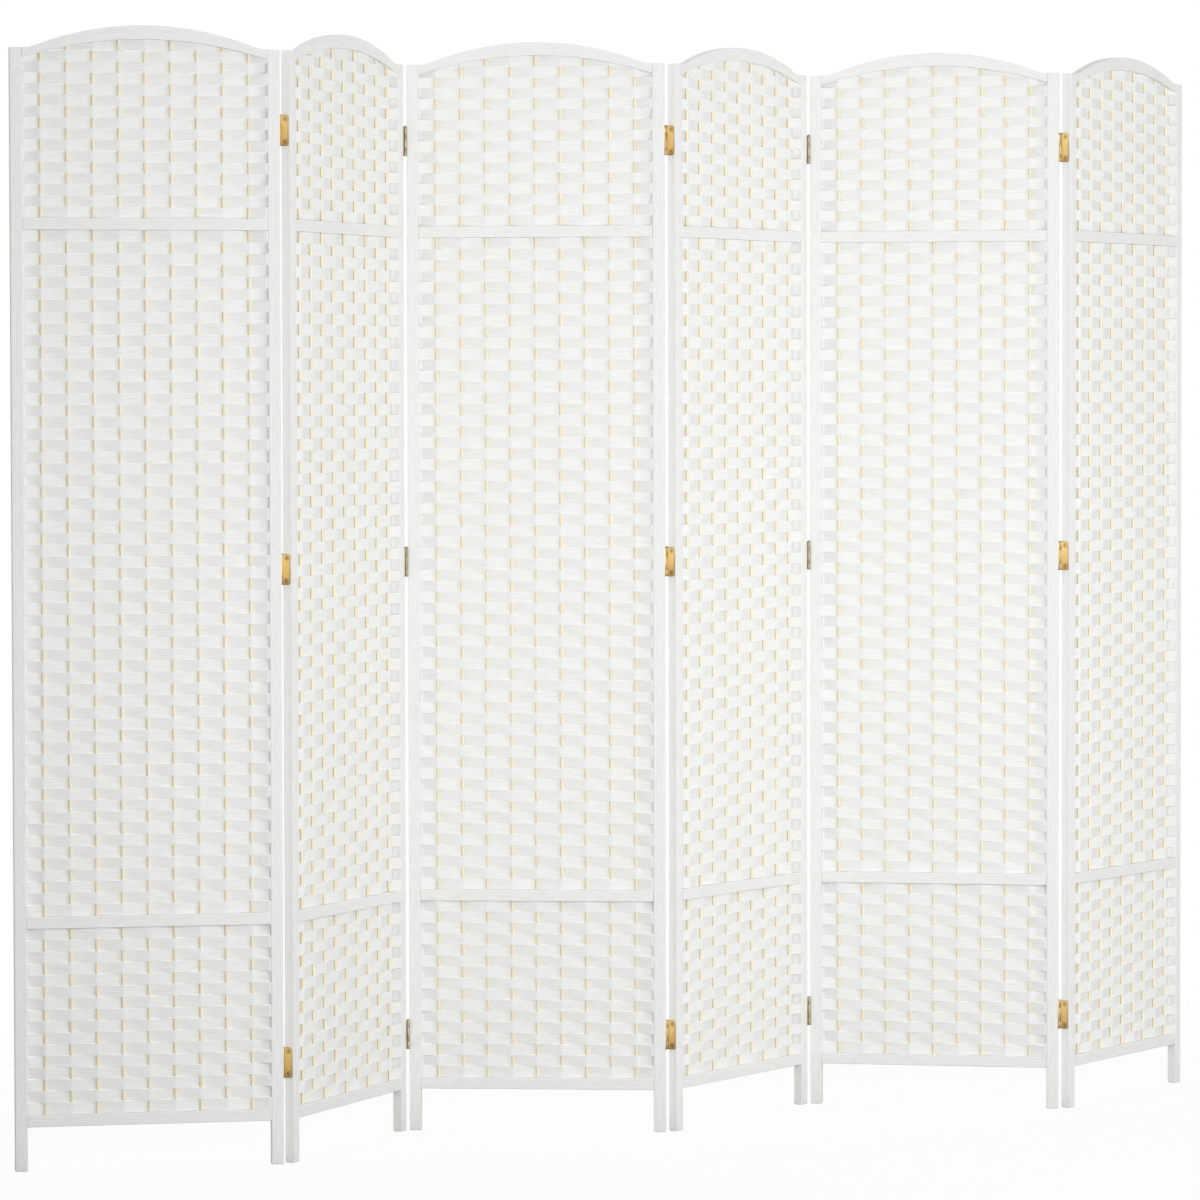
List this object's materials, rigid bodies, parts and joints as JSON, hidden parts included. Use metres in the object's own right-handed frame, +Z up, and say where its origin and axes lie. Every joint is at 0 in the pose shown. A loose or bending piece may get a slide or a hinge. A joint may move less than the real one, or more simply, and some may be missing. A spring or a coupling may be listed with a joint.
{
  "type": "folding privacy screen",
  "caption": "Free-standing folding room divider: hinged arched panels with legs, light frames and flat strips woven round upright sticks.",
  "frame": {"origin": "on the floor under the middle of the standing screen's bounding box", "axes": "+X along the row of panels from the first to the last, +Y from the front to the back, +Z up"},
  "size_m": [2.122, 0.316, 1.699],
  "materials": {
    "frame": "white paper-wrapped wood, matt",
    "strips": "white flat paper fibre strip, matt, finely ribbed",
    "sticks": "natural pale bamboo, satin",
    "hinges": "bright brass plate",
    "screws": "bright brass plate"
  },
  "bodies": {
    "panel_1": {"panel_1_left_stile": "frame", "panel_1_right_stile": "frame", "panel_1_crown_rail": "frame", "panel_1_cross_rails": "frame", "panel_1_bottom_rail": "frame", "panel_1_sticks": "sticks", "panel_1_strips": "strips", "panel_1_hinge_leaves": "hinges", "panel_1_hinge_screws": "screws", "panel_1_hinge_pins": "hinges"},
    "panel_2": {"panel_2_left_stile": "frame", "panel_2_right_stile": "frame", "panel_2_crown_rail": "frame", "panel_2_cross_rails": "frame", "panel_2_bottom_rail": "frame", "panel_2_sticks": "sticks", "panel_2_strips": "strips", "panel_2_hinge_leaves": "hinges", "panel_2_hinge_screws": "screws"},
    "panel_3": {"panel_3_left_stile": "frame", "panel_3_right_stile": "frame", "panel_3_crown_rail": "frame", "panel_3_cross_rails": "frame", "panel_3_bottom_rail": "frame", "panel_3_sticks": "sticks", "panel_3_strips": "strips", "panel_3_hinge_leaves": "hinges", "panel_3_hinge_screws": "screws", "panel_3_hinge_pins": "hinges"},
    "panel_4": {"panel_4_left_stile": "frame", "panel_4_right_stile": "frame", "panel_4_crown_rail": "frame", "panel_4_cross_rails": "frame", "panel_4_bottom_rail": "frame", "panel_4_sticks": "sticks", "panel_4_strips": "strips", "panel_4_hinge_leaves": "hinges", "panel_4_hinge_screws": "screws"},
    "panel_5": {"panel_5_left_stile": "frame", "panel_5_right_stile": "frame", "panel_5_crown_rail": "frame", "panel_5_cross_rails": "frame", "panel_5_bottom_rail": "frame", "panel_5_sticks": "sticks", "panel_5_strips": "strips", "panel_5_hinge_leaves": "hinges", "panel_5_hinge_screws": "screws", "panel_5_hinge_pins": "hinges"},
    "panel_6": {"panel_6_left_stile": "frame", "panel_6_right_stile": "frame", "panel_6_crown_rail": "frame", "panel_6_cross_rails": "frame", "panel_6_bottom_rail": "frame", "panel_6_sticks": "sticks", "panel_6_strips": "strips", "panel_6_hinge_leaves": "hinges", "panel_6_hinge_screws": "screws"}
  },
  "joints": [
    {"name": "fold_1_2", "type": "hinge", "parent": "panel_1", "child": "panel_2", "pos_m": [-0.6734, -0.08401, 0.891], "axis": [0, 0, 1], "range_deg": [-55.7, 124.3]},
    {"name": "fold_2_3", "type": "hinge", "parent": "panel_2", "child": "panel_3", "pos_m": [-0.33907, 0.1454, 0.891], "axis": [0, 0, -1], "range_deg": [-71.4, 108.6]},
    {"name": "fold_3_4", "type": "hinge", "parent": "panel_3", "child": "panel_4", "pos_m": [0.0068, -0.0662, 0.891], "axis": [0, 0, 1], "range_deg": [-61.6, 118.4]},
    {"name": "fold_4_5", "type": "hinge", "parent": "panel_4", "child": "panel_5", "pos_m": [0.37529, 0.10296, 0.891], "axis": [0, 0, -1], "range_deg": [-67.7, 112.3]},
    {"name": "fold_5_6", "type": "hinge", "parent": "panel_5", "child": "panel_6", "pos_m": [0.69672, -0.14419, 0.891], "axis": [0, 0, 1], "range_deg": [-68.1, 111.9]}
  ]
}
